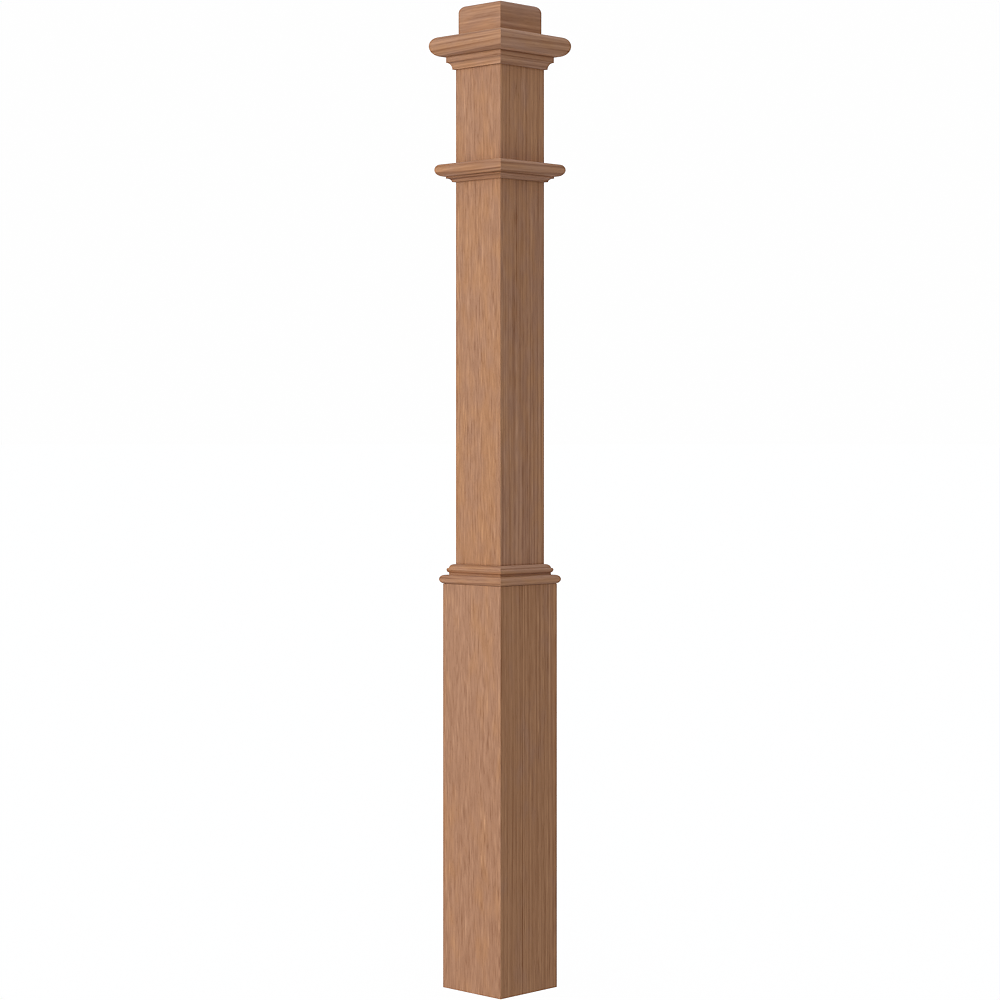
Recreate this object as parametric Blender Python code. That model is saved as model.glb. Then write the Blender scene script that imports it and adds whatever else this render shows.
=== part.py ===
"""A box newel post: a hollow square shaft of mitred boards, cased at the foot, with mitred
mouldings round it and a block on top.

Lengths are in metres, +Z is up, and the origin is on the floor at the middle of the post.
Every piece is made once, as the one that faces the front (-Y), and set round the post four times.
"""

import math

import bmesh
import bpy
from mathutils import Matrix, Vector

# Fits
GLUE_GAP = 0.0003  # left between two pieces that touch

# Boards
SHAFT_SIDE = 0.0984  # outside of the square shaft
SHAFT_BOARD = 0.0190  # thickness
CASING_BOARD = 0.0140  # thickness
CASING_HEIGHT = 0.6350

# Lengths of bare shaft between the mouldings
LOWER_REVEAL = 0.6006  # base moulding to collar
RAIL_REVEAL = 0.1490  # collar to cap, where a handrail meets the post

# Base moulding, from the casing up. A reach is measured out from the shaft's face.
TORUS_OVERHANG = 0.0046  # how far the half-round stands out past the casing
TORUS_HEIGHT = 0.0138
GROOVE_REACH = 0.0077
GROOVE_HEIGHT = 0.0037
BEAD_SWELL = 0.0028  # how far the bead stands out of the groove
BEAD_LOWER = 0.0047
BEAD_UPPER = 0.0018
OVOLO_HEIGHT = 0.0064
TOP_EDGE = 0.0006  # flat left at the moulding's thin upper edge

# Collar
COLLAR_COVE_FOOT = 0.0045  # reach at the bottom of the cove
COLLAR_COVE_REACH = 0.0113  # reach of the fillet above it
COLLAR_COVE_HEIGHT = 0.0055
COLLAR_FILLET_HEIGHT = 0.0031
COLLAR_NOSE_OVERHANG = 0.0128  # how far the nose stands out past the fillet
COLLAR_NOSE_LOWER_HEIGHT = 0.0104  # the rounding below the nose's widest line
COLLAR_NOSE_LOWER_DEPTH = 0.0104
COLLAR_NOSE_UPPER_HEIGHT = 0.0085  # and the one above it
COLLAR_NOSE_UPPER_DEPTH = 0.0069

# Cap
CAP_COVE_FOOT = 0.0040
CAP_COVE_REACH = 0.0110
CAP_COVE_HEIGHT = 0.0107
CAP_FILLET_HEIGHT = 0.0094
CAP_PLATE_OVERHANG = 0.0193  # how far the plate stands out past the fillet
CAP_PLATE_LOWER_HEIGHT = 0.0167
CAP_PLATE_LOWER_DEPTH = 0.0149
CAP_PLATE_UPPER_HEIGHT = 0.0140
CAP_PLATE_UPPER_DEPTH = 0.0120
CAP_BLOCK_SIDE = 0.0927
CAP_BLOCK_HEIGHT = 0.0484
CAP_BLOCK_ROUND_HEIGHT = 0.0116  # rounding of the block's top edges
CAP_BLOCK_ROUND_DEPTH = 0.0095

# Making
ARC_STEPS = 8  # straight facets in a quarter turn
SAW_ALLOWANCE = 0.0100  # length left past each mitre before it is sawn
WELD_DISTANCE = 1e-6
SHARP_ANGLE = math.radians(30)

# Places that follow from the sizes above
SHAFT_FACE = SHAFT_SIDE / 2
CASING_FACE = SHAFT_FACE + GLUE_GAP + CASING_BOARD
TORUS_RADIUS = TORUS_HEIGHT / 2
TORUS_REACH = CASING_FACE + TORUS_OVERHANG - SHAFT_FACE
BASE_MOULDING_FOOT = CASING_HEIGHT + GLUE_GAP
BASE_MOULDING_HEIGHT = TORUS_HEIGHT + GROOVE_HEIGHT + BEAD_LOWER + BEAD_UPPER + OVOLO_HEIGHT
COLLAR_FOOT = BASE_MOULDING_FOOT + BASE_MOULDING_HEIGHT + LOWER_REVEAL
COLLAR_COVE_TOP = COLLAR_FOOT + COLLAR_COVE_HEIGHT + COLLAR_FILLET_HEIGHT
COLLAR_NOSE_FOOT = COLLAR_COVE_TOP + GLUE_GAP
COLLAR_NOSE_REACH = COLLAR_COVE_REACH + COLLAR_NOSE_OVERHANG
COLLAR_NOSE_HEIGHT = COLLAR_NOSE_LOWER_HEIGHT + COLLAR_NOSE_UPPER_HEIGHT
CAP_FOOT = COLLAR_NOSE_FOOT + COLLAR_NOSE_HEIGHT + RAIL_REVEAL
SHAFT_HEIGHT = CAP_FOOT + CAP_COVE_HEIGHT + CAP_FILLET_HEIGHT
CAP_PLATE_FOOT = SHAFT_HEIGHT + GLUE_GAP
CAP_PLATE_EDGE = SHAFT_FACE + CAP_COVE_REACH + CAP_PLATE_OVERHANG
CAP_PLATE_HEIGHT = CAP_PLATE_LOWER_HEIGHT + CAP_PLATE_UPPER_HEIGHT
CAP_BLOCK_FOOT = CAP_PLATE_FOOT + CAP_PLATE_HEIGHT + GLUE_GAP

SIDES = ("front", "right", "back", "left")

# Linear colours of the oiled wood, a shade apart as between real boards
SHAFT_COLOUR = (0.392, 0.205, 0.118, 1.0)
CASING_COLOUR = (0.372, 0.192, 0.112, 1.0)
MOULDING_COLOUR = (0.360, 0.184, 0.105, 1.0)
CAP_COLOUR = (0.368, 0.190, 0.110, 1.0)


def clear_scene():
    for obj in list(bpy.data.objects):
        bpy.data.objects.remove(obj, do_unlink=True)


def wood(name, colour):
    """A satin brown wood."""
    material = bpy.data.materials.new(name)
    material.use_nodes = True
    shader = material.node_tree.nodes["Principled BSDF"]
    shader.inputs["Base Color"].default_value = colour
    shader.inputs["Roughness"].default_value = 0.5
    shader.inputs["Metallic"].default_value = 0.0
    return material


def arc(centre, reach, rise, start, end):
    """Points on an ellipse about centre, from one angle to another, in degrees.

    0 points out from the post and 90 points up.
    """
    steps = max(2, round(ARC_STEPS * abs(end - start) / 90))
    points = []
    for step in range(steps + 1):
        angle = math.radians(start + (end - start) * step / steps)
        points.append((centre[0] + reach * math.cos(angle), centre[1] + rise * math.sin(angle)))
    return points


def base_moulding_outline():
    """Half-round, groove, bead and ovolo, from the casing's top edge up to the shaft."""
    back = GLUE_GAP
    groove_foot = TORUS_HEIGHT
    bead_foot = groove_foot + GROOVE_HEIGHT
    bead_middle = bead_foot + BEAD_LOWER
    ovolo_foot = bead_middle + BEAD_UPPER
    outline = [(back, 0.0)]
    outline += arc((TORUS_REACH - TORUS_RADIUS, TORUS_RADIUS), TORUS_RADIUS, TORUS_RADIUS, -90, 90)
    outline += [(GROOVE_REACH, groove_foot)]
    outline += arc((GROOVE_REACH, bead_middle), BEAD_SWELL, BEAD_LOWER, -90, 0)
    outline += arc((GROOVE_REACH, bead_middle), BEAD_SWELL, BEAD_UPPER, 0, 90)[1:]
    edge = back + TOP_EDGE
    outline += arc((edge, ovolo_foot), GROOVE_REACH - edge, OVOLO_HEIGHT, 0, 90)[1:]
    outline += [(back, ovolo_foot + OVOLO_HEIGHT)]
    return outline


def cove_outline(foot_reach, top_reach, cove_height, fillet_height):
    """A hollow quarter that swings out from its foot to an upright fillet."""
    top = cove_height + fillet_height
    outline = [(GLUE_GAP, 0.0)]
    outline += arc((top_reach, 0.0), top_reach - foot_reach, cove_height, 180, 90)
    outline += [(top_reach, top), (GLUE_GAP, top)]
    return outline


def nose_outline(back, edge, lower_height, lower_depth, upper_height, upper_depth):
    """A flat strip with a rounded front, fuller below its widest line than above it."""
    outline = [(back, 0.0)]
    outline += arc((edge - lower_depth, lower_height), lower_depth, lower_height, -90, 0)
    outline += arc((edge - upper_depth, lower_height), upper_depth, upper_height, 0, 90)[1:]
    outline += [(back, lower_height + upper_height)]
    return outline


def cap_block_outline():
    """Half of the block's section, with its rounded top edge."""
    edge = CAP_BLOCK_SIDE / 2
    centre = (edge - CAP_BLOCK_ROUND_DEPTH, CAP_BLOCK_HEIGHT - CAP_BLOCK_ROUND_HEIGHT)
    outline = [(0.0, 0.0), (edge, 0.0)]
    outline += arc(centre, CAP_BLOCK_ROUND_DEPTH, CAP_BLOCK_ROUND_HEIGHT, 0, 90)
    outline += [(0.0, CAP_BLOCK_HEIGHT)]
    return outline


def run_of_moulding(outline, inner_face, foot, run):
    """A straight square-ended length of the outline, lying along X in front of the post."""
    curve = bpy.data.curves.new("moulding_outline", "CURVE")
    curve.dimensions = "2D"
    curve.fill_mode = "BOTH"
    curve.extrude = run / 2
    spline = curve.splines.new("POLY")
    spline.points.add(len(outline) - 1)
    for point, (reach, height) in zip(spline.points, outline):
        point.co = (reach, height, 0.0, 1.0)
    spline.use_cyclic_u = True

    drawn = bpy.data.objects.new("moulding_outline", curve)
    bpy.context.scene.collection.objects.link(drawn)
    bpy.context.view_layer.update()
    graph = bpy.context.evaluated_depsgraph_get()
    mesh = bpy.data.meshes.new_from_object(drawn.evaluated_get(graph))
    bpy.data.objects.remove(drawn, do_unlink=True)
    bpy.data.curves.remove(curve)

    # The outline's reach turns to -Y and its height to +Z.
    turn = Matrix.Rotation(math.radians(-90), 4, "Z") @ Matrix.Rotation(math.radians(90), 4, "X")
    place = Matrix.Translation((0.0, -inner_face, foot))
    mesh.transform(place @ turn)
    return mesh


def saw_mitres(mesh):
    """Cuts both ends off along the post's diagonals, half a glue gap short of them."""
    work = bmesh.new()
    work.from_mesh(mesh)
    bmesh.ops.remove_doubles(work, verts=work.verts[:], dist=WELD_DISTANCE)
    for side in (-1, 1):
        outward = Vector((side, 1.0, 0.0)).normalized()
        cut = bmesh.ops.bisect_plane(
            work,
            geom=work.verts[:] + work.edges[:] + work.faces[:],
            plane_co=-outward * GLUE_GAP / 2,
            plane_no=outward,
            clear_outer=True,
        )
        cut_edges = [item for item in cut["geom_cut"] if isinstance(item, bmesh.types.BMEdge)]
        bmesh.ops.contextual_create(work, geom=cut_edges)
    bmesh.ops.recalc_face_normals(work, faces=work.faces[:])
    work.to_mesh(mesh)
    work.free()


def moulding_mesh(name, outline, inner_face, foot):
    """One mitred side of a moulding that runs round the post."""
    outer_face = inner_face + max(reach for reach, height in outline)
    mesh = run_of_moulding(outline, inner_face, foot, 2 * (outer_face + SAW_ALLOWANCE))
    mesh.name = name
    saw_mitres(mesh)
    mesh.shade_smooth()
    mesh.set_sharp_from_angle(angle=SHARP_ANGLE)
    return mesh


def board_mesh(name, outer_face, thickness, height):
    """One upright board, mitred along both long edges."""
    work = bmesh.new()
    bmesh.ops.create_cube(work, size=1.0)
    width = 2 * (outer_face + SAW_ALLOWANCE)
    bmesh.ops.scale(work, vec=(width, thickness, height), verts=work.verts[:])
    middle = Vector((0.0, thickness / 2 - outer_face, height / 2))
    bmesh.ops.translate(work, vec=middle, verts=work.verts[:])
    mesh = bpy.data.meshes.new(name)
    work.to_mesh(mesh)
    work.free()
    saw_mitres(mesh)
    return mesh


def set_round_post(piece_name, mesh, material, post, collection):
    """Sets four copies of a front piece round the post, one to a side."""
    mesh.materials.clear()
    mesh.materials.append(material)
    for index, side in enumerate(SIDES):
        piece = bpy.data.objects.new(f"{side}_{piece_name}", mesh)
        piece.rotation_euler = (0.0, 0.0, index * math.pi / 2)
        piece.parent = post
        collection.objects.link(piece)


def build():
    clear_scene()
    collection = bpy.data.collections.new("newel_post")
    bpy.context.scene.collection.children.link(collection)
    post = bpy.data.objects.new("newel_post", None)
    collection.objects.link(post)

    shaft_wood = wood("shaft_wood", SHAFT_COLOUR)
    casing_wood = wood("casing_wood", CASING_COLOUR)
    moulding_wood = wood("moulding_wood", MOULDING_COLOUR)
    cap_wood = wood("cap_wood", CAP_COLOUR)

    shaft = board_mesh("shaft_board", SHAFT_FACE, SHAFT_BOARD, SHAFT_HEIGHT)
    set_round_post("shaft_board", shaft, shaft_wood, post, collection)

    casing = board_mesh("casing_board", CASING_FACE, CASING_BOARD, CASING_HEIGHT)
    set_round_post("casing_board", casing, casing_wood, post, collection)

    base = moulding_mesh("base_moulding", base_moulding_outline(), SHAFT_FACE, BASE_MOULDING_FOOT)
    set_round_post("base_moulding", base, moulding_wood, post, collection)

    outline = cove_outline(
        COLLAR_COVE_FOOT, COLLAR_COVE_REACH, COLLAR_COVE_HEIGHT, COLLAR_FILLET_HEIGHT
    )
    collar_cove = moulding_mesh("collar_cove", outline, SHAFT_FACE, COLLAR_FOOT)
    set_round_post("collar_cove", collar_cove, moulding_wood, post, collection)

    outline = nose_outline(
        GLUE_GAP,
        COLLAR_NOSE_REACH,
        COLLAR_NOSE_LOWER_HEIGHT,
        COLLAR_NOSE_LOWER_DEPTH,
        COLLAR_NOSE_UPPER_HEIGHT,
        COLLAR_NOSE_UPPER_DEPTH,
    )
    collar_nose = moulding_mesh("collar_nose", outline, SHAFT_FACE, COLLAR_NOSE_FOOT)
    set_round_post("collar_nose", collar_nose, moulding_wood, post, collection)

    outline = cove_outline(CAP_COVE_FOOT, CAP_COVE_REACH, CAP_COVE_HEIGHT, CAP_FILLET_HEIGHT)
    cap_cove = moulding_mesh("cap_cove", outline, SHAFT_FACE, CAP_FOOT)
    set_round_post("cap_cove", cap_cove, cap_wood, post, collection)

    outline = nose_outline(
        0.0,
        CAP_PLATE_EDGE,
        CAP_PLATE_LOWER_HEIGHT,
        CAP_PLATE_LOWER_DEPTH,
        CAP_PLATE_UPPER_HEIGHT,
        CAP_PLATE_UPPER_DEPTH,
    )
    cap_plate = moulding_mesh("cap_plate", outline, 0.0, CAP_PLATE_FOOT)
    set_round_post("cap_plate", cap_plate, cap_wood, post, collection)

    cap_block = moulding_mesh("cap_block", cap_block_outline(), 0.0, CAP_BLOCK_FOOT)
    set_round_post("cap_block", cap_block, cap_wood, post, collection)


build()
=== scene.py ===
# %% [markdown]
# # A box newel post, dressed in oiled brown wood
#
# A newel is the stout post that a stair's handrail ends on. This one is a box newel: boards glued
# into a hollow box, cased at the foot, and trimmed with mouldings. The packed model gives every
# board and moulding its size and place, and this script never moves them. It makes a finished
# piece for each one, with the small roundings and tight joints that sandpaper and glue leave, and
# then gives each piece wood of its own.
#
# The frame is in metres, +Z is up, and the origin is on the floor at the middle of the post.

import math
from types import SimpleNamespace

import bmesh
import bpy
from mathutils import Matrix, Vector


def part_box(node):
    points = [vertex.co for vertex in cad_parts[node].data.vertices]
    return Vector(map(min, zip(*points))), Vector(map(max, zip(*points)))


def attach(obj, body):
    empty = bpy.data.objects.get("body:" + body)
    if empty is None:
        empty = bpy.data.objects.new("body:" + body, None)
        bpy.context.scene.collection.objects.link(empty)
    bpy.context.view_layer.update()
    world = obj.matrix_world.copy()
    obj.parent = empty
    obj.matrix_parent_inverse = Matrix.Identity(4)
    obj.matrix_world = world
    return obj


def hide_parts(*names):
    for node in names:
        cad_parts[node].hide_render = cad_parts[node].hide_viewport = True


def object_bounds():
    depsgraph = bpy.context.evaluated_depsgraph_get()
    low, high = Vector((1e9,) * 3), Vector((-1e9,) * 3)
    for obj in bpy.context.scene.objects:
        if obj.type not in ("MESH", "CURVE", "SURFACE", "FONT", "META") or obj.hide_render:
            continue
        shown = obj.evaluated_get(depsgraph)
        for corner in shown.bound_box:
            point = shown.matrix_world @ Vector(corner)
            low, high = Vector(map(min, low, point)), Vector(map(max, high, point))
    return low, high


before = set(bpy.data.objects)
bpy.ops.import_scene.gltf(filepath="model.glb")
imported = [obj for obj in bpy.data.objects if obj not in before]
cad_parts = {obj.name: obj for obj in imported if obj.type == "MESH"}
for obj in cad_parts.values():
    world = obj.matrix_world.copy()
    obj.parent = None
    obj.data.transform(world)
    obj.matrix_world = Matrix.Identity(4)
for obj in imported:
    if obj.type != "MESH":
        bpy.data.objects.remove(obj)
cad_low, cad_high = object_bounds()
SIDES = ("front", "right", "back", "left")
print("nodes:", len(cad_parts), "height:", round(cad_high.z, 4), "width:", round(cad_high.x * 2, 4))

# %% [markdown]
# ## Where the photographer stood
#
# The picture looks at one corner of the post, so that two sides show. Upright edges stay upright
# in a picture only if the camera is level. So it isn't tipped down to take in the foot: the
# picture is shifted instead, as an architectural photographer does. The distance sets how steeply
# the mouldings' lines run toward each other, and the lens only how large the post comes out.

# %% The camera
CAMERA_BEARING = math.radians(44.46)
CAMERA_DISTANCE = 4.040
CAMERA_HEIGHT = 0.8618
CAMERA_LENS = 92.45
CAMERA_SHIFT = -0.0607
FAR_LIMIT = 1000.0

camera = bpy.data.objects.new("photo_camera", bpy.data.cameras.new("photo_camera"))
camera.data.lens = CAMERA_LENS
camera.data.shift_y = CAMERA_SHIFT
camera.data.clip_end = FAR_LIMIT
camera.location = (
    CAMERA_DISTANCE * math.sin(CAMERA_BEARING),
    -CAMERA_DISTANCE * math.cos(CAMERA_BEARING),
    CAMERA_HEIGHT,
)
camera.rotation_euler = (math.pi / 2, 0.0, CAMERA_BEARING)
bpy.context.scene.collection.objects.link(camera)
bpy.context.scene.camera = camera
bpy.context.scene.view_settings.view_transform = "Standard"
print("camera at", tuple(round(value, 3) for value in camera.location))

# %% [markdown]
# ## Shader maths that reads like arithmetic
#
# A material is a net of nodes, and a net that is wired by hand in code is hard to read. Here one
# small class stands for a node's output. Adding or multiplying two of them adds the Math node, so
# the wood further down can be written as sums.

# %% A node's output as a number
class Flow:
    """One output of a node. Arithmetic on it adds Math nodes to the same net."""

    def __init__(self, socket):
        self.socket = socket

    @staticmethod
    def node(net, kind, settings=None, sockets=None, output=0):
        """Adds a node: its settings first, then a value or a Flow for each socket named."""
        made = net.nodes.new(kind)
        for name, value in (settings or {}).items():
            setattr(made, name, value)
        for name, value in (sockets or {}).items():
            if isinstance(value, Flow):
                net.links.new(value.socket, made.inputs[name])
            else:
                made.inputs[name].default_value = value
        return Flow(made.outputs[output]) if made.outputs else None

    def beside(self, kind, settings=None, sockets=None, output=0):
        """Adds a node to the net that this output is in."""
        return Flow.node(self.socket.id_data, kind, settings, sockets, output)

    def maths(self, operation, first, second=0.0):
        return self.beside("ShaderNodeMath", {"operation": operation}, {0: first, 1: second})

    def __add__(self, other):
        return self.maths("ADD", self, other)

    def __radd__(self, other):
        return self.maths("ADD", other, self)

    def __sub__(self, other):
        return self.maths("SUBTRACT", self, other)

    def __rsub__(self, other):
        return self.maths("SUBTRACT", other, self)

    def __mul__(self, other):
        return self.maths("MULTIPLY", self, other)

    def __rmul__(self, other):
        return self.maths("MULTIPLY", other, self)

    def __truediv__(self, other):
        return self.maths("DIVIDE", self, other)

    def __pow__(self, other):
        return self.maths("POWER", self, other)

    def __abs__(self):
        return self.maths("ABSOLUTE", self)

    def above_zero(self):
        return self.maths("MAXIMUM", self)

    def fraction(self):
        return self.maths("FRACT", self)


print("operators ready:", [name for name in vars(Flow) if name.startswith("__r")])

# %% [markdown]
# Three things can't be written as a sum of numbers. One is a soft step, which turns noise into
# marks with clean edges. The others are for colours and places, which a Math node would flatten to
# one number: a blend of two colours, and a product taken channel by channel.

# %% A soft step, a blend and a product
def ramp(value, low, high):
    """Rises smoothly from 0 to 1 as the value goes from low to high."""
    settings = {"interpolation_type": "SMOOTHSTEP"}
    return value.beside("ShaderNodeMapRange", settings, {0: value, 1: low, 2: high})


def blend(share, first, second):
    """A colour between two others."""
    return share.beside("ShaderNodeMix", {"data_type": "RGBA"}, {0: share, 6: first, 7: second}, 2)


def scaled(vector, factors):
    """A place or a colour, with each of its three parts multiplied by its own factor."""
    settings = {"operation": "MULTIPLY"}
    return vector.beside("ShaderNodeVectorMath", settings, {0: vector, 1: factors})


print("helpers ready:", ramp.__name__, blend.__name__, scaled.__name__)

# %% [markdown]
# ## Plain soft studio light
#
# The front is lit and the right side is in shade, about half as bright, and neither darkens
# toward the foot. The mouldings say more than the flat faces do, because their rounds look every
# way. On the shaded side their tops and their undersides are both brighter than their middles, so
# white lies above and below the post and little stands to its right. Lamps could be placed for
# each of those. A room that glows is simpler and has no hot spots, so it is written as a sum: a
# white ceiling, a white floor, a broad panel in front, and a trace from all round. A glow's focus
# is a power that gathers it round its middle. The panel is a little warm and the rest a little
# cool, which makes the shaded side the greyer one. The camera itself sees plain white.

# %% The glowing room
GROUND_WHITE = 0.994
CEILING_GLOW = 0.79
FLOOR_GLOW = 0.79
FLOOR_FOCUS = 2
ROUND_GLOW = 0.14
PANEL_GLOW = 1.09
PANEL_FOCUS = 3
PANEL_BEARING = 20
COOL = (0.88, 0.97, 1.10)
WARM = (1.14, 1.035, 0.87)


def toward(bearing, rise=0):
    """A direction in degrees: bearing 0 is straight out of the front, and 90 out of the right."""
    turn = Matrix.Rotation(math.radians(bearing), 3, "Z")
    lift = Matrix.Rotation(-math.radians(rise), 3, "X")
    return turn @ lift @ Vector((0.0, -1.0, 0.0))


world = bpy.data.worlds.new("studio_room")
bpy.context.scene.world = world
world.use_nodes = True
net = world.node_tree
net.nodes.clear()
direction = Flow.node(net, "ShaderNodeTexCoord")
upward = direction.beside("ShaderNodeSeparateXYZ", sockets={0: direction}, output=2)
settings = {"operation": "DOT_PRODUCT"}
sockets = {0: direction, 1: toward(PANEL_BEARING)}
facing = direction.beside("ShaderNodeVectorMath", settings, sockets, output=1)
above = upward.above_zero()
below = (upward * -1).above_zero() ** FLOOR_FOCUS
panel = facing.above_zero() ** PANEL_FOCUS
around = above * CEILING_GLOW + below * FLOOR_GLOW + ROUND_GLOW
from_camera = Flow.node(net, "ShaderNodeLightPath")
channels = {}
for channel, (cool, warm) in enumerate(zip(COOL, WARM)):
    room = around * cool + panel * (PANEL_GLOW * warm)
    channels[channel] = from_camera * GROUND_WHITE + (1 - from_camera) * room
colour = Flow.node(net, "ShaderNodeCombineXYZ", sockets=channels)
shine = Flow.node(net, "ShaderNodeBackground", sockets={"Color": colour})
Flow.node(net, "ShaderNodeOutputWorld", sockets={"Surface": shine})
print("room nodes:", len(net.nodes))

# %% [markdown]
# One soft lamp at the left, only just above level, gives the front its lead over the right side.
# A sun lamp is used for it, because its light is as strong at the post's foot as at its head. A
# wide angle makes its shadows soft, like those of a large lamp close by.

# %% The key light
KEY_STRENGTH = 1.13
KEY_SOFTNESS = math.radians(34)
KEY_BEARING = -60
KEY_RISE = 5

key = bpy.data.objects.new("key_light", bpy.data.lights.new("key_light", "SUN"))
key.data.energy = KEY_STRENGTH
key.data.color = WARM
key.data.angle = KEY_SOFTNESS
key.rotation_euler = toward(KEY_BEARING, KEY_RISE).to_track_quat("Z", "Y").to_euler()
bpy.context.scene.collection.objects.link(key)
print("key light from", [round(value, 2) for value in toward(KEY_BEARING, KEY_RISE)])

# %% [markdown]
# ## The floor
#
# The floor is one wide pale disc. Most of its white is its own glow, so that it meets the
# background without a line, and only a faint shade gathers at the post's foot. A real white floor
# throws light up at the post as well. The room's own glow from below already stands for that, and
# can be set by itself, so the disc is hidden from the light that bounces.

# %% A wide pale disc
FLOOR_RADIUS = 400.0
FLOOR_SEGMENTS = 96
FLOOR_WHITE = 0.975
FLOOR_REFLECTS = 0.03

floor_mesh = bpy.data.meshes.new("pale_floor")
work = bmesh.new()
bmesh.ops.create_circle(work, cap_ends=True, radius=FLOOR_RADIUS, segments=FLOOR_SEGMENTS)
work.to_mesh(floor_mesh)
work.free()
floor = bpy.data.objects.new("pale_floor", floor_mesh)
bpy.context.scene.collection.objects.link(floor)

floor_paint = bpy.data.materials.new("pale_floor")
floor_paint.use_nodes = True
net = floor_paint.node_tree
net.nodes.clear()
matt = Flow.node(net, "ShaderNodeBsdfDiffuse", sockets={"Color": (FLOOR_REFLECTS,) * 3 + (1,)})
glow = Flow.node(net, "ShaderNodeEmission", sockets={"Strength": FLOOR_WHITE})
both = Flow.node(net, "ShaderNodeAddShader", sockets={0: matt, 1: glow})
Flow.node(net, "ShaderNodeOutputMaterial", sockets={"Surface": both})
floor_mesh.materials.append(floor_paint)
floor.visible_diffuse = False
floor.visible_glossy = False
print("floor radius", FLOOR_RADIUS)

# %% [markdown]
# ## The look of a printed photograph
#
# Photographs for a catalogue are sharpened before they are printed, and this one is: a thin dark
# line runs inside each outline, and the near corner has a pale line beside it. Those lines aren't
# on the wood, so they don't belong in its material. A mild sharpening of the finished picture
# gives the same. It works on the picture's own brightness scale, so the light is turned to that
# scale before it and back after it.

# %% Sharpening the picture
SHARPENING = 0.20
DISPLAY_GAMMA = 2.2

bpy.context.scene.use_nodes = True
net = bpy.context.scene.node_tree
net.nodes.clear()
taken = Flow.node(net, "CompositorNodeRLayers")
shown = Flow.node(net, "CompositorNodeGamma", sockets={0: taken, 1: 1 / DISPLAY_GAMMA})
settings = {"filter_type": "SHARPEN_DIAMOND"}
crisp = Flow.node(net, "CompositorNodeFilter", settings, {0: SHARPENING, 1: shown})
light = Flow.node(net, "CompositorNodeGamma", sockets={0: crisp, 1: DISPLAY_GAMMA})
Flow.node(net, "CompositorNodeComposite", sockets={0: light})
print("sharpened by", SHARPENING)

# %% [markdown]
# ## Wood, from the log outward
#
# Grain isn't a picture on a board: it runs right through the log, and a board shows whatever its
# saw cut happened to cross. So the wood here is worked out in the log. Each piece carries the
# place that every one of its points had in the log, and the material only asks for that place.
#
# Long thin streaks run along the log. A board cut parallel to them shows long straight lines, as
# on the right side of the post. A board cut at a slight dive crosses them, and shows short flecks
# and pointed arches, as on its front. Both come from the same noise, which is squeezed across the
# log and drawn out along it. A shift takes each use of it to a part that no other use has.

# %% Streaks in the log
MILLIMETRE = 0.001
NOISE_MIDDLE = 0.5
NOISE_ROUGHNESS = 0.55


def streaks(place, width, length, detail=0.5, shift=0.0, depth=None):
    """Noise drawn out along the log, either side of 0."""
    drawn = scaled(place, (1 / width, 1 / (depth or width), 1 / length))
    settings = {"operation": "ADD"}
    moved = drawn.beside("ShaderNodeVectorMath", settings, {0: drawn, 1: (shift,) * 3})
    sockets = {"Vector": moved, "Scale": 1.0, "Detail": detail, "Roughness": NOISE_ROUGHNESS}
    return moved.beside("ShaderNodeTexNoise", sockets=sockets) - NOISE_MIDDLE


print("streaks run either side of 0, by up to", NOISE_MIDDLE)

# %% [markdown]
# Drawn-out noise still wavers, and this wood's lines keep dead straight for a long way and only
# come and go. So straight lines are a product of two noises: one that is next to constant along
# the log says where the lines lie, and a shorter one fades them in and out. Strands are the long
# lines and flecks the short dashes. Each mixes straight lines with the wavier kind, because real
# wood shows both, and the wavier kind is livelier in some places than in others. The fading's
# width and depth are given as so many widths of the line.

# %% Straight lines, strands and flecks
LINE_LENGTH = 3.0
LINE_DEPTH = 0.060
FADE_WIDTH = 2.5
FADE_DEPTH = 1.2
FADE_SHIFT = 40
LINE_GAIN = 7.0
STRANDS = dict(width=3.4 * MILLIMETRE, straight=(0.33, 2.0, 1.1), wavy=(0.33, 0.0, 0.62))
FLECKS = dict(width=3.0 * MILLIMETRE, straight=(0.030, 5.0, 1.2), wavy=(0.026, 5.0, 0.68))


def straight_lines(place, width, length, shift):
    """Lines that keep dead straight along the log, and only fade in and out."""
    lines = streaks(place, width, LINE_LENGTH, shift=shift, depth=LINE_DEPTH)
    fade_depth = width * FADE_DEPTH
    fading = streaks(place, width * FADE_WIDTH, length, shift=shift + FADE_SHIFT, depth=fade_depth)
    return lines * fading * LINE_GAIN


def grain_lines(place, lively, width, straight, wavy):
    """Straight and wavy lines of one width. Each kind has its length, shift and strength."""
    length, shift, strength = straight
    lines = straight_lines(place, width, length, shift) * strength
    length, shift, strength = wavy
    return lines + streaks(place, width, length, shift=shift) * lively * strength


print("strand width", STRANDS["width"], "fleck width", FLECKS["width"])

# %% [markdown]
# A tree adds a ring each year, pale first and dark at the year's end. The rings are the distance
# from the log's middle, cut into years by taking the fraction, with a little noise so that they
# aren't compass circles. Where a board's face crosses them at a slant, they make the arches.
#
# The right casing board has a long dark line with a pale one beside it, a mineral seam. It is a
# flat sheet in the log, so it needs only a distance from one plane, and no other board meets it.

# %% Growth rings and a mineral seam
RING_SPACING = 8.8 * MILLIMETRE
RING_WANDER = dict(width=0.022, length=0.40, shift=17.0)
RING_WANDER_YEARS = 1.6
LATE_WOOD_STARTS = (0.30, 0.85)
LATE_WOOD_ENDS = (0.88, 1.0)
SEAM_WAVER = dict(width=0.040, length=0.30, shift=61.0)
SEAM_WAVER_REACH = 1.2 * MILLIMETRE
SEAM_DARK_EDGE = (0.2, 1.0)
SEAM_PALE_EDGE = (0.2, 1.1)
SEAM_PALE_OFFSET = 1.6
SEAM_PALE_STRENGTH = 0.7


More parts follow.
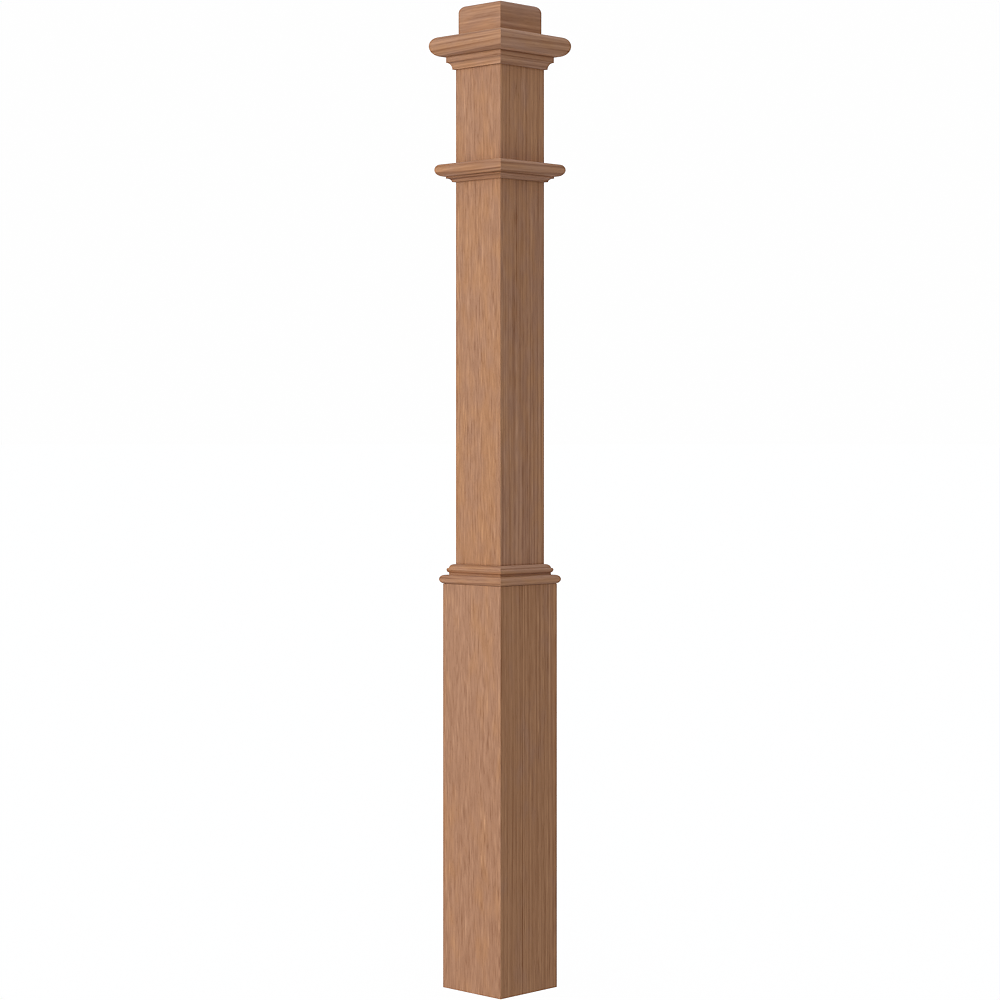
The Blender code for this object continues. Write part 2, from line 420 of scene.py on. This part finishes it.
def growth_rings(place):
    """Dark late wood at the end of each year's growth, round the log's middle."""
    across = scaled(place, (1, 1, 0))
    radius = across.beside("ShaderNodeVectorMath", {"operation": "LENGTH"}, {0: across}, output=1)
    turns = radius / RING_SPACING + streaks(place, **RING_WANDER) * RING_WANDER_YEARS
    year = turns.fraction()
    return ramp(year, *LATE_WOOD_STARTS) * (1 - ramp(year, *LATE_WOOD_ENDS))


def mineral_seam(place, distance, width):
    """A dark line with a pale one beside it, in a flat sheet at this distance across the log."""
    across = place.beside("ShaderNodeSeparateXYZ", sockets={0: place})
    waver = streaks(place, **SEAM_WAVER) * SEAM_WAVER_REACH
    away = (across + waver - distance) * (1 / width)
    dark = 1 - ramp(abs(away), *SEAM_DARK_EDGE)
    pale = 1 - ramp(abs(away - SEAM_PALE_OFFSET), *SEAM_PALE_EDGE)
    return dark - pale * SEAM_PALE_STRENGTH


print("years in a 127 mm board:", round(127 * MILLIMETRE / RING_SPACING))

# %% [markdown]
# ## From the log to light and dark
#
# Some of the dark in this wood is its own, as in its late wood. Some is the finisher's: oil and
# stain gather in pores. The inner corners are darkened too, as painted shade, and the rounded
# edges between sides are lightened, as a painted highlight along with the paler wood that sanding
# leaves. All of that is one number here, the shade, which is 0 where the wood has its plain colour.
# One number is easier to set than a colour for each layer. Besides the log's own layers, the wood
# uses five marks that each piece carries:
#
# - arris: 1 on a rounded corner between two sides, lightened as a painted highlight and sanding wear
# - corner: 1 in an inner corner, darkened there as painted shade
# - lined: 0 for a board that shows flecks, and more for one that shows straight lines and rings
# - tint and tone: how the piece differs from its neighbours

# %% Layers of the log and the shade they make
LIVELY = dict(width=0.030, length=0.16, shift=71.0)
LIVELY_GAIN = 2.0
FIBRE = dict(width=1.4 * MILLIMETRE, length=0.12, detail=2.0, shift=9.0)
PORE = dict(width=0.9 * MILLIMETRE, length=0.011, shift=31.0)
PORE_EDGE = (0.12, 0.24)
CLOUD = dict(width=0.045, length=0.30, shift=43.0)
PATCH = dict(width=0.016, length=0.035, shift=51.0)
MARKS = ("arris", "corner", "lined", "tint", "tone")
LINED_STRANDS = 0.20
LINED_FLECKS = 0.50
LINED_RINGS = 0.70
LINED_PATCHES = 0.06
PLAIN_RINGS = 0.15
RING_MIDDLE = 0.35
PORE_DARKENS = 0.12
PATCH_SHOWS = 0.14
FIBRE_SHOWS = 0.24
CLOUD_SHOWS = 0.10
# Painted highlight on the rounded corners between sides, with the paler wood that sanding leaves.
ARRIS_HIGHLIGHT_AND_WEAR = 0.08
# Painted shade: how much the inner corners are darkened.
PAINTED_CORNER_SHADE = 0.20
SEAM_DARKENS = 0.27


def log_layers(place):
    """What runs through the log at this place, layer by layer."""
    lively = 1 + streaks(place, **LIVELY) * LIVELY_GAIN
    return SimpleNamespace(
        late=growth_rings(place),
        strand=grain_lines(place, lively, **STRANDS),
        fleck=grain_lines(place, lively, **FLECKS),
        fibre=streaks(place, **FIBRE),
        pore=ramp(streaks(place, **PORE), *PORE_EDGE),
        cloud=streaks(place, **CLOUD),
        patch=streaks(place, **PATCH),
    )


def wood_shade(layer, mark, rings, strands, flecks):
    """How much lighter than its plain colour the wood is, or darker where it is below 0."""
    shade = layer.strand * (mark.lined * LINED_STRANDS + 1) * strands
    shade = shade + layer.fleck * flecks / (mark.lined * LINED_FLECKS + 1)
    shade = shade - (layer.late - RING_MIDDLE) * (mark.lined * LINED_RINGS + PLAIN_RINGS) * rings
    shade = shade - layer.pore * PORE_DARKENS
    shade = shade + layer.patch * (PATCH_SHOWS - mark.lined * LINED_PATCHES)
    shade = shade + layer.fibre * FIBRE_SHOWS + layer.cloud * CLOUD_SHOWS
    # Rounded corners get a painted highlight with sanding wear, and inner corners painted shade.
    return shade + mark.arris * ARRIS_HIGHLIGHT_AND_WEAR - mark.corner * PAINTED_CORNER_SHADE + mark.tone


print("marks that each piece carries:", ", ".join(MARKS))

# %% [markdown]
# ## The oiled finish
#
# Dark grain in brown wood isn't grey: it is redder, so the shade moves blue more than red. The
# colour also drifts a little, between a pinker and a tawnier brown, in the same clouds and patches
# that the grain has. Oil leaves a low even sheen, with the pores a little rougher and just deep
# enough to break it. A painted picture of wood would be quicker, but its grain couldn't run on
# round a corner or change with the saw cut.

# %% The wood as a material
DARKENS = (0.78, 1.0, 1.22)
PINK = (0.975, 1.0, 1.09)
TAWNY = (1.025, 1.0, 0.905)
PATCH_TURNS = 0.65
CLOUD_TURNS = 0.8
HUE_EDGE = (-0.22, 0.22)
FIBRE_RAISES = 0.5
GRAIN_DEPTH = 0.2 * MILLIMETRE
GRAIN_RELIEF = 0.25
SHEEN_ROUGHNESS = 0.52
PORE_ROUGHENS = 0.15
LATE_SMOOTHS = 0.04
OIL_SPECULAR = 0.30


def attribute(net, name, output):
    """A value that the mesh stores at each point: output 1 is a place and 2 a number."""
    return Flow.node(net, "ShaderNodeAttribute", {"attribute_name": name}, output=output)


def tinted(colour, tint):
    """A plain colour leaned toward another, as a shader colour with its alpha."""
    return tuple(channel * share for channel, share in zip(colour, tint)) + (1,)


def newel_wood(name, colour, rings=0.17, strands=0.43, flecks=0.50, seam=None):
    """Oiled brown wood. The numbers are how strongly each part of the figure shows."""
    material = bpy.data.materials.new(name)
    material.use_nodes = True
    net = material.node_tree
    net.nodes.clear()
    place = attribute(net, "log_place", 1)
    mark = SimpleNamespace(**{mark_name: attribute(net, mark_name, 2) for mark_name in MARKS})
    layer = log_layers(place)

    shade = wood_shade(layer, mark, rings, strands, flecks)
    if seam:
        shade = shade - mineral_seam(place, *seam) * SEAM_DARKENS
    tones = {channel: shade * share + 1 for channel, share in enumerate(DARKENS)}
    grain = Flow.node(net, "ShaderNodeCombineXYZ", sockets=tones)
    lean = ramp(layer.patch * PATCH_TURNS + layer.cloud * CLOUD_TURNS + mark.tint, *HUE_EDGE)
    hue = blend(lean, tinted(colour, PINK), tinted(colour, TAWNY))

    relief = layer.fibre * FIBRE_RAISES - layer.pore
    sockets = {"Strength": GRAIN_RELIEF, "Distance": GRAIN_DEPTH, "Height": relief}
    bump = Flow.node(net, "ShaderNodeBump", sockets=sockets)
    sockets = {
        "Base Color": scaled(hue, grain),
        "Roughness": SHEEN_ROUGHNESS + layer.pore * PORE_ROUGHENS - layer.late * LATE_SMOOTHS,
        "Normal": bump,
        "Specular IOR Level": OIL_SPECULAR,
    }
    shader = Flow.node(net, "ShaderNodeBsdfPrincipled", sockets=sockets)
    Flow.node(net, "ShaderNodeOutputMaterial", sockets={"Surface": shader})
    return material


print("hue runs from", PINK, "to", TAWNY)

# %% [markdown]
# The shaft, the casing, the mouldings and the cap come from the same kind of wood, but from
# different boards, so each has a brown of its own. The mouldings show longer lines and fewer
# flecks than the boards do.

# %% Four woods
SHAFT_COLOUR = (0.450, 0.223, 0.118)
CASING_COLOUR = (0.434, 0.2155, 0.1150)
MOULDING_COLOUR = (0.443, 0.219, 0.116)
CAP_COLOUR = (0.450, 0.230, 0.1290)
CASING_SEAM = (0.1455, 1.8 * MILLIMETRE)
TRIM_FIGURE = dict(strands=0.54, flecks=0.40)
woods = {
    "shaft_wood": newel_wood("shaft_wood", SHAFT_COLOUR),
    "casing_wood": newel_wood("casing_wood", CASING_COLOUR, seam=CASING_SEAM),
    "moulding_wood": newel_wood("moulding_wood", MOULDING_COLOUR, **TRIM_FIGURE),
    "cap_wood": newel_wood("cap_wood", CAP_COLOUR, **TRIM_FIGURE),
}
print("woods:", ", ".join(woods))

# %% [markdown]
# ## Where each piece lay in the log
#
# A place in the log is two distances across it and one along it. The boards stand upright, so
# their grain runs up. The mouldings lie on their sides, so theirs runs along the face they trim.
# Plain-sawn boards come from beside the log's middle and dive a little through the grain;
# quarter-sawn ones stand on end to the rings, and run true. So each piece needs only a slope, the
# place of the log's middle, and how far along the log its own stretch starts.

# %% From the post to the log
GRAIN_UP = Matrix.Identity(3)
GRAIN_ALONG = Matrix(((0, 1, 0), (0, 0, 1), (1, 0, 0)))
PLAIN_SAWN = dict(dive=5.0, drift=0.6, middle=(0.012, 0.110))
QUARTER_SAWN = dict(dive=0.15, drift=0.1, middle=(0.160, 0.020))
HIDDEN_PLAIN = dict(dive=4.5, drift=0.8, middle=(0.025, 0.140))
HIDDEN_QUARTER = dict(dive=0.3, drift=0.2, middle=(0.250, 0.030))
FRONT_TRIM = dict(dive=0.8, drift=1.2, middle=(0.030, 0.090))
RIGHT_TRIM = dict(dive=0.5, drift=0.8, middle=(0.085, 0.040))
BOARD_STOCK = dict(
    grain=GRAIN_UP,
    saws=(PLAIN_SAWN, QUARTER_SAWN, HIDDEN_PLAIN, HIDDEN_QUARTER),
    spacing=1.9,
)
TRIM_STOCK = dict(grain=GRAIN_ALONG, saws=(FRONT_TRIM, RIGHT_TRIM) * 2, spacing=2.3)


def log_from_post(grain, dive, drift, middle, start):
    """Turns a place on a front piece into a place in the log.

    The dive is the grain's slope through the face, the drift its slope across it, and middle is
    where the log's heart passes, all for a piece that faces the front.
    """
    tilt = Matrix.Rotation(math.radians(dive), 3, "X") @ Matrix.Rotation(math.radians(drift), 3, "Y")
    turned = (tilt @ grain).to_4x4()
    return Matrix.Translation((*middle, start)) @ turned


print("plain-sawn dive", PLAIN_SAWN["dive"], "degrees")

# %% [markdown]
# ## No two boards alike
#
# A joiner picks boards that match, but they never match quite. For each piece the first table says
# how far it leans toward tawny, or below 0 toward pink, and the second how much lighter or darker
# it is than its neighbours: front, right, back and left.

# %% How the pieces differ
TINTS = {
    "shaft_board": (-0.01, 0.06, 0.03, -0.03),
    "casing_board": (-0.17, 0.19, 0.02, -0.03),
    "base_moulding": (0.0, 0.0, 0.02, -0.02),
    "collar_cove": (-0.03, -0.15, 0.02, 0.03),
    "collar_nose": (0.03, 0.0, -0.02, 0.02),
    "cap_cove": (0.06, -0.22, 0.03, 0.0),
    "cap_plate": (0.18, 0.17, 0.02, 0.05),
    "cap_block": (-0.13, 0.07, 0.03, 0.0),
}
TONES = {
    "shaft_board": (0.0, 0.022, 0.01, 0.0),
    "casing_board": (0.02, -0.03, 0.0, 0.01),
    "base_moulding": (0.01, 0.09, 0.02, 0.0),
    "collar_cove": (-0.060, -0.045, 0.0, -0.02),
    "collar_nose": (0.0, -0.01, 0.02, 0.0),
    "cap_cove": (0.04, 0.01, 0.0, 0.02),
    "cap_plate": (0.035, 0.035, 0.03, 0.04),
    "cap_block": (-0.008, -0.02, 0.02, 0.0),
}
print("pieces with a tint of their own:", 4 * len(TINTS))

# %% [markdown]
# ## One side of anything that runs round the post
#
# Everything on this post, a board or a moulding, is the same kind of thing: a section carried
# along one side and cut off at both ends on the post's diagonals. So one set of functions makes
# them all, and a piece is told apart only by its section.
#
# A section is a list of points, each a reach out from the post's middle and a height. A moulding's
# curves are parts of ellipses. A real edge is never a knife edge, so each sharp one is swapped for
# a small curve, except at the back, where the piece is glued.

# %% Drawing a section
JOINT = 0.04 * MILLIMETRE
WELD = 1e-7
ARC_STEPS = 14
SHARP_ANGLE = math.radians(30)
SOFT_EDGE = 0.35 * MILLIMETRE
SOFT_STEPS = 4
SOFT_SHARE = 0.45


def arc(centre, reach, rise, start, end):
    """Points on part of an ellipse, in degrees: 0 points out from the post and 90 up."""
    steps = max(2, round(ARC_STEPS * abs(end - start) / 90))
    points = []
    for step in range(steps + 1):
        angle = math.radians(start + (end - start) * step / steps)
        points.append((centre[0] + reach * math.cos(angle), centre[1] + rise * math.sin(angle)))
    return points


def softened(section, back):
    """The section with its sharp edges eased, except those at the back, which are glued."""
    eased = []
    for index, point in enumerate(section):
        here = Vector(point)
        before = Vector(section[index - 1]) - here
        after = Vector(section[(index + 1) % len(section)]) - here
        glued = here.x <= back + JOINT
        doubled = min(before.length, after.length) < WELD
        if glued or doubled or before.angle(-after) < SHARP_ANGLE:
            eased.append(tuple(here))
            continue
        cut = min(SOFT_EDGE, before.length * SOFT_SHARE, after.length * SOFT_SHARE)
        first = here + before.normalized() * cut
        last = here + after.normalized() * cut
        for step in range(SOFT_STEPS + 1):
            share = step / SOFT_STEPS
            mixed = first * (1 - share) ** 2 + here * 2 * share * (1 - share) + last * share ** 2
            eased.append(tuple(mixed))
    return eased


print("edges eased by", SOFT_EDGE)

# %% [markdown]
# Blender could carry the section along a square path with its curve tools, but their corners are
# sharp, and the four sides would be one piece. Here each point of the section becomes a row of
# points along one side, the rows are closed into a skin, and a plane saws each end off on the
# mitre, half a hair joint short of it. Where two sides meet, sandpaper rounds the corner, and a
# render shows that as a thin line of light. So each row bends round before the saw takes it.

# %% Sawing a length on the mitre
CORNER_ROUND = 0.7 * MILLIMETRE
CORNER_STEPS = 4
FACE_MARGIN = 1.2 * MILLIMETRE


def plan_points(reach):
    """One side seen from above at this reach: a rounded corner, the face, a rounded corner."""
    rounding = min(CORNER_ROUND, reach / 2)
    centre = reach - rounding
    margin = min(FACE_MARGIN, centre / 2)
    right = [(centre - margin, -reach)]
    for step in range(CORNER_STEPS + 1):
        angle = math.radians(45 * step / CORNER_STEPS)
        right.append((centre + rounding * math.sin(angle), -centre - rounding * math.cos(angle)))
    left = [(-x, y) for x, y in reversed(right)]
    return left + right


def sawn_length(section):
    """A mesh of one front side with the given section, mitred at both ends."""
    work = bmesh.new()
    rows = []
    for reach, height in section:
        rows.append([work.verts.new((x, y, height)) for x, y in plan_points(reach)])
    for row, above in zip(rows, rows[1:] + rows[:1]):
        for index in range(len(row) - 1):
            work.faces.new((row[index], row[index + 1], above[index + 1], above[index]))
    bmesh.ops.remove_doubles(work, verts=work.verts[:], dist=WELD)
    bmesh.ops.dissolve_degenerate(work, edges=work.edges[:], dist=WELD)
    for side in (-1, 1):
        outward = Vector((side, 1.0, 0.0)).normalized()
        cut = bmesh.ops.bisect_plane(
            work,
            geom=work.verts[:] + work.edges[:] + work.faces[:],
            plane_co=-outward * JOINT / 2,
            plane_no=outward,
            clear_outer=True,
        )
        edges = [item for item in cut["geom_cut"] if isinstance(item, bmesh.types.BMEdge)]
        bmesh.ops.contextual_create(work, geom=edges)
    bmesh.ops.recalc_face_normals(work, faces=work.faces[:])
    return work


print("points along one side:", len(plan_points(cad_high.x)))

# %% [markdown]
# ## What the wood has to know of a piece
#
# The material asks each point for its place in the log and for the five marks. They could be
# painted by hand. But an arris and an inner corner are known from the shape, so they are measured
# from it, and stored on the mesh as attributes, which a shader can read and an export can bake.

# %% Marks on the mesh
# How far the painted shade reaches from an inner corner.
PAINTED_SHADE_REACH = 3.5 * MILLIMETRE


def arris_share(place):
    """1 on the rounded corner between two sides, falling to 0 just inside the face."""
    across = (abs(place.y) - abs(place.x)) / math.sqrt(2)
    return max(0.0, 1.0 - across / CORNER_ROUND)


def corner_shade_share(place, corners):
    """1 in an inner corner of the section, where shade is painted, falling to 0 just outside it."""
    gaps = [math.hypot(-place.y - reach, place.z - height) for reach, height in corners]
    return max(0.0, 1.0 - min(gaps, default=1.0) / PAINTED_SHADE_REACH)


def store_marks(mesh, log, corners, values):
    """Stores each point's place in the log, its two measured marks and the piece's own values."""
    points = [vertex.co.copy() for vertex in mesh.vertices]
    marks = {
        "arris": [arris_share(point) for point in points],
        "corner": [corner_shade_share(point, corners) for point in points],
    }
    marks.update({mark: [value] * len(points) for mark, value in values.items()})
    places = [distance for point in points for distance in log @ point]
    mesh.attributes.new("log_place", "FLOAT_VECTOR", "POINT").data.foreach_set("vector", places)
    for mark, shares in marks.items():
        mesh.attributes.new(mark, "FLOAT", "POINT").data.foreach_set("value", shares)


# The reach of the painted shade in the inner corners.
print("stain reaches", PAINTED_SHADE_REACH, "from an inner corner")

# %% [markdown]
# ## Finishing a piece
#
# Every piece is made as if it were on the front, and only then turned to its own side, so the
# four sides are alike to the last edge. Smooth shading hides the facets of its curves, and edges
# sharper than 30 degrees are kept crisp.

# %% From a section to four finished pieces
def finish_piece(node, side, cut, slot, log, lined):
    """Makes one side's piece, puts it in place and lets it stand for its node."""
    section, back, corners = cut
    index = SIDES.index(side)
    name = f"finished_{side}_{node}"
    mesh = bpy.data.meshes.new(name)
    work = sawn_length(softened(section, back))
    work.to_mesh(mesh)
    work.free()
    values = {"lined": lined, "tint": TINTS[node][index], "tone": TONES[node][index]}
    store_marks(mesh, log, corners, values)
    mesh.transform(Matrix.Rotation(index * math.pi / 2, 4, "Z"))
    mesh.shade_smooth()
    mesh.set_sharp_from_angle(angle=SHARP_ANGLE)
    mesh.materials.append(woods[slot])
    piece = bpy.data.objects.new(name, mesh)
    bpy.context.scene.collection.objects.link(piece)
    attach(piece, "root")
    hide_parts(f"{side}_{node}")
    return piece


def run_round(node, slot, cut, first, lined, grain, saws, spacing):
    """Makes the four sides of a board or moulding, each from its own stretch of the log."""
    for index, side in enumerate(SIDES):
        log = log_from_post(grain, start=first + spacing * index, **saws[index])
        piece = finish_piece(node, side, cut, slot, log, lined[index])
    print(node, "points in each of four pieces:", len(piece.data.vertices))


print("ready to run round", len(SIDES), "sides")

# %% [markdown]
# ## Tight joints
#
# The packed solids are parted by a glue gap of 0.3 mm, so that they never touch. On the real post
# a moulding sits tight on what is under it, and the joint is a hair line. So a piece that sits on
# another is let down by the gap, all but a trace, while its top stays where the packed one is.

# %% Measuring a node
GLUE_GAP = 0.3 * MILLIMETRE
SEATED = ("base_moulding", "collar_nose", "cap_plate", "cap_block")


def span(node):
    """How far a front node reaches out and in, and its foot and top, in the frame."""
    low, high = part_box(f"front_{node}")
    let_down = GLUE_GAP - JOINT if node in SEATED else 0.0
    return -low.y, -high.y, low.z - let_down, high.z


print("shaft board spans", [round(value, 4) for value in span("shaft_board")])

# %% [markdown]
# ## Shaft and casing
#
# The slim shaft is four 19 mm boards, mitred along their edges into a hollow box, and four
# thinner boards case its foot. A board's section is a plain tall rectangle. It gets a few extra
# points where a moulding's top lies against it, because painted shade darkens the board there, and
# a mark stored at points can only show where there are points. The front and back boards show
# flecks, and the boards between them straight lines.

# %% Boards
BOARD_LINED = (0, 1, 0, 1)
SHAFT_START = 0.0
CASING_START = 4.7


def board_cut(node, crossings):
    """A board's section, with points at each height where a moulding's top lies on its face."""
    face, back, foot, top = span(node)
    section = [(back, foot), (face, foot)]
    for height in sorted(crossings):
        section += [(face, height + offset) for offset in (-PAINTED_SHADE_REACH, 0.0, PAINTED_SHADE_REACH)]
    section += [(face, top), (back, top)]
    return section, back, [(face, height) for height in crossings]


shaft_cut = board_cut("shaft_board", (span("base_moulding")[3], span("collar_nose")[3]))
casing_cut = board_cut("casing_board", ())
run_round("shaft_board", "shaft_wood", shaft_cut, SHAFT_START, BOARD_LINED, **BOARD_STOCK)
run_round("casing_board", "casing_wood", casing_cut, CASING_START, BOARD_LINED, **BOARD_STOCK)

# %% [markdown]
# ## Base moulding
#
# Where the casing stops, a strip of moulding sits on its edge and hides the step: a half-round
# that overhangs the casing, a groove, a small bead, and a rounded top that dies into the shaft.
# Each is a part of an ellipse, and the heights add up from the foot.

# %% Base moulding
TORUS_HEIGHT = 13.8 * MILLIMETRE
GROOVE_REACH = 7.7 * MILLIMETRE
GROOVE_HEIGHT = 3.7 * MILLIMETRE
BEAD_SWELL = 2.8 * MILLIMETRE
BEAD_LOWER = 4.7 * MILLIMETRE
BEAD_UPPER = 2.6 * MILLIMETRE
TOP_EDGE = 0.6 * MILLIMETRE
BASE_START = 0.0
BASE_LINED = (1.5,) * 4


def base_moulding_cut():
    edge, back, foot, top = span("base_moulding")
    shaft_face = span("shaft_board")[0]
    radius = TORUS_HEIGHT / 2
    groove = shaft_face + GROOVE_REACH
    bead_foot = foot + TORUS_HEIGHT + GROOVE_HEIGHT
    bead_middle = bead_foot + BEAD_LOWER
    ovolo_foot = bead_middle + BEAD_UPPER
    thin = back + TOP_EDGE
    section = [(back, foot)]
    section += arc((edge - radius, foot + radius), radius, radius, -90, 90)
    section += [(groove, foot + TORUS_HEIGHT)]
    section += arc((groove, bead_middle), BEAD_SWELL, BEAD_LOWER, -90, 0)
    section += arc((groove, bead_middle), BEAD_SWELL, BEAD_UPPER, 0, 90)[1:]
    section += arc((thin, ovolo_foot), groove - thin, top - ovolo_foot, 0, 90)[1:]
    section += [(back, top)]
    corners = [(groove, foot + TORUS_HEIGHT), (groove, bead_foot)]
    return section, back, corners


run_round("base_moulding", "moulding_wood", base_moulding_cut(), BASE_START, BASE_LINED, **TRIM_STOCK)

# %% [markdown]
# ## Collar
#
# The collar marks where the rail section starts. A small cove swings out from the shaft to an
# upright fillet, and a rounded nose sits on it. The nose is fuller below its widest line than
# above, so it is two parts of ellipses and not one round. The cap repeats both shapes, larger, so
# they are written as functions that take their sizes.

# %% Collar
COLLAR_COVE_FOOT = 4.5 * MILLIMETRE
COLLAR_COVE_HEIGHT = 5.5 * MILLIMETRE
COLLAR_COVE_START = 0.7
COLLAR_NOSE_LOWER = (10.4 * MILLIMETRE, 10.4 * MILLIMETRE)
COLLAR_NOSE_DEPTH = 6.9 * MILLIMETRE
COLLAR_NOSE_START = 1.4
TRIM_LINED = (2.5,) * 4


def cove_cut(node, foot_reach, cove_height):
    edge, back, foot, top = span(node)
    narrow = span("shaft_board")[0] + foot_reach
    section = [(back, foot)]
    section += arc((edge, foot), edge - narrow, cove_height, 180, 90)
    section += [(edge, top), (back, top)]
    return section, back, []


def nose_cut(node, lower, upper_depth):
    edge, back, foot, top = span(node)
    depth, height = lower
    widest = foot + height
    section = [(back, foot)]
    section += arc((edge - depth, widest), depth, height, -90, 0)
    section += arc((edge - upper_depth, widest), upper_depth, top - widest, 0, 90)[1:]
    section += [(back, top)]
    return section, back, []


collar_cove = cove_cut("collar_cove", COLLAR_COVE_FOOT, COLLAR_COVE_HEIGHT)
collar_nose = nose_cut("collar_nose", COLLAR_NOSE_LOWER, COLLAR_NOSE_DEPTH)
run_round("collar_cove", "moulding_wood", collar_cove, COLLAR_COVE_START, TRIM_LINED, **TRIM_STOCK)
run_round("collar_nose", "moulding_wood", collar_nose, COLLAR_NOSE_START, TRIM_LINED, **TRIM_STOCK)

# %% [markdown]
# ## Cap
#
# The cap is the collar again with more weight: a cove, and a plate with the same full nose, which
# closes the box. A small block with rounded top edges finishes it. The grain of the plate and the
# block turns at each corner, so both are four mitred parts that meet at the middle.

# %% Cap
CAP_COVE_FOOT = 4.0 * MILLIMETRE
CAP_COVE_HEIGHT = 10.7 * MILLIMETRE
CAP_COVE_START = 2.1
CAP_PLATE_LOWER = (14.9 * MILLIMETRE, 16.7 * MILLIMETRE)
CAP_PLATE_DEPTH = 12.0 * MILLIMETRE
CAP_PLATE_START = 2.8
CAP_BLOCK_ROUND = (9.5 * MILLIMETRE, 11.6 * MILLIMETRE)
CAP_BLOCK_START = 5.3
BLOCK_LINED = (0.0,) * 4


def block_cut():
    edge, back, foot, top = span("cap_block")
    depth, height = CAP_BLOCK_ROUND
    # The point just above the block's foot lets the painted shade where it sits on the plate fade
    # out.
    section = [(back, foot), (edge, foot), (edge, foot + PAINTED_SHADE_REACH)]
    section += arc((edge - depth, top - height), depth, height, 0, 90)
    section += [(back, top)]
    return section, back, [(edge, foot)]


cap_cove = cove_cut("cap_cove", CAP_COVE_FOOT, CAP_COVE_HEIGHT)
cap_plate = nose_cut("cap_plate", CAP_PLATE_LOWER, CAP_PLATE_DEPTH)
run_round("cap_cove", "cap_wood", cap_cove, CAP_COVE_START, TRIM_LINED, **TRIM_STOCK)
run_round("cap_plate", "cap_wood", cap_plate, CAP_PLATE_START, TRIM_LINED, **TRIM_STOCK)
run_round("cap_block", "cap_wood", block_cut(), CAP_BLOCK_START, BLOCK_LINED, **TRIM_STOCK)

# %% [markdown]
# ## The size of the dressed post
#
# The dressed post has to stay inside the box of the packed one.
